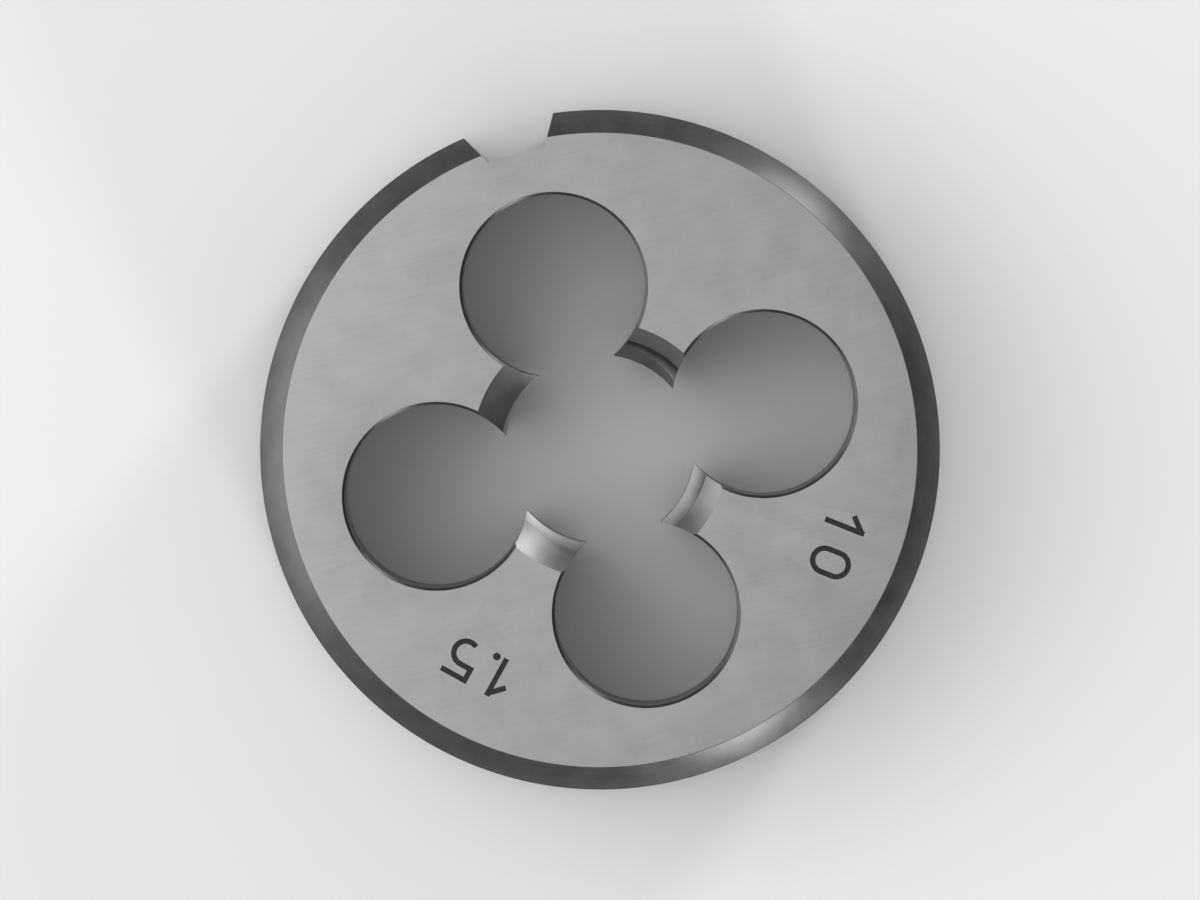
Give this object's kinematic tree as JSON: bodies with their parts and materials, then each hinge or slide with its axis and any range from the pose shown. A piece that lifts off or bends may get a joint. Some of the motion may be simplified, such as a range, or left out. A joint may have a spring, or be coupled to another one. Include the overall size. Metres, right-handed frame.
{
  "type": "round threading die",
  "caption": "Round adjustable die that cuts a metric outside thread: a steel disc with a threaded middle, chip holes, a rim notch and set-screw dimples.",
  "frame": {"origin": "centre of the lower face, on the die's axis", "axes": "+Z along the die's axis out of the marked face; +Y towards the notch in the rim"},
  "size_m": [0.03, 0.0299, 0.011],
  "materials": {
    "die_steel": "ground faces and rim, darker hardened chamfers and holes"
  },
  "bodies": {
    "root": {"die_body": "die_steel"}
  },
  "joints": []
}
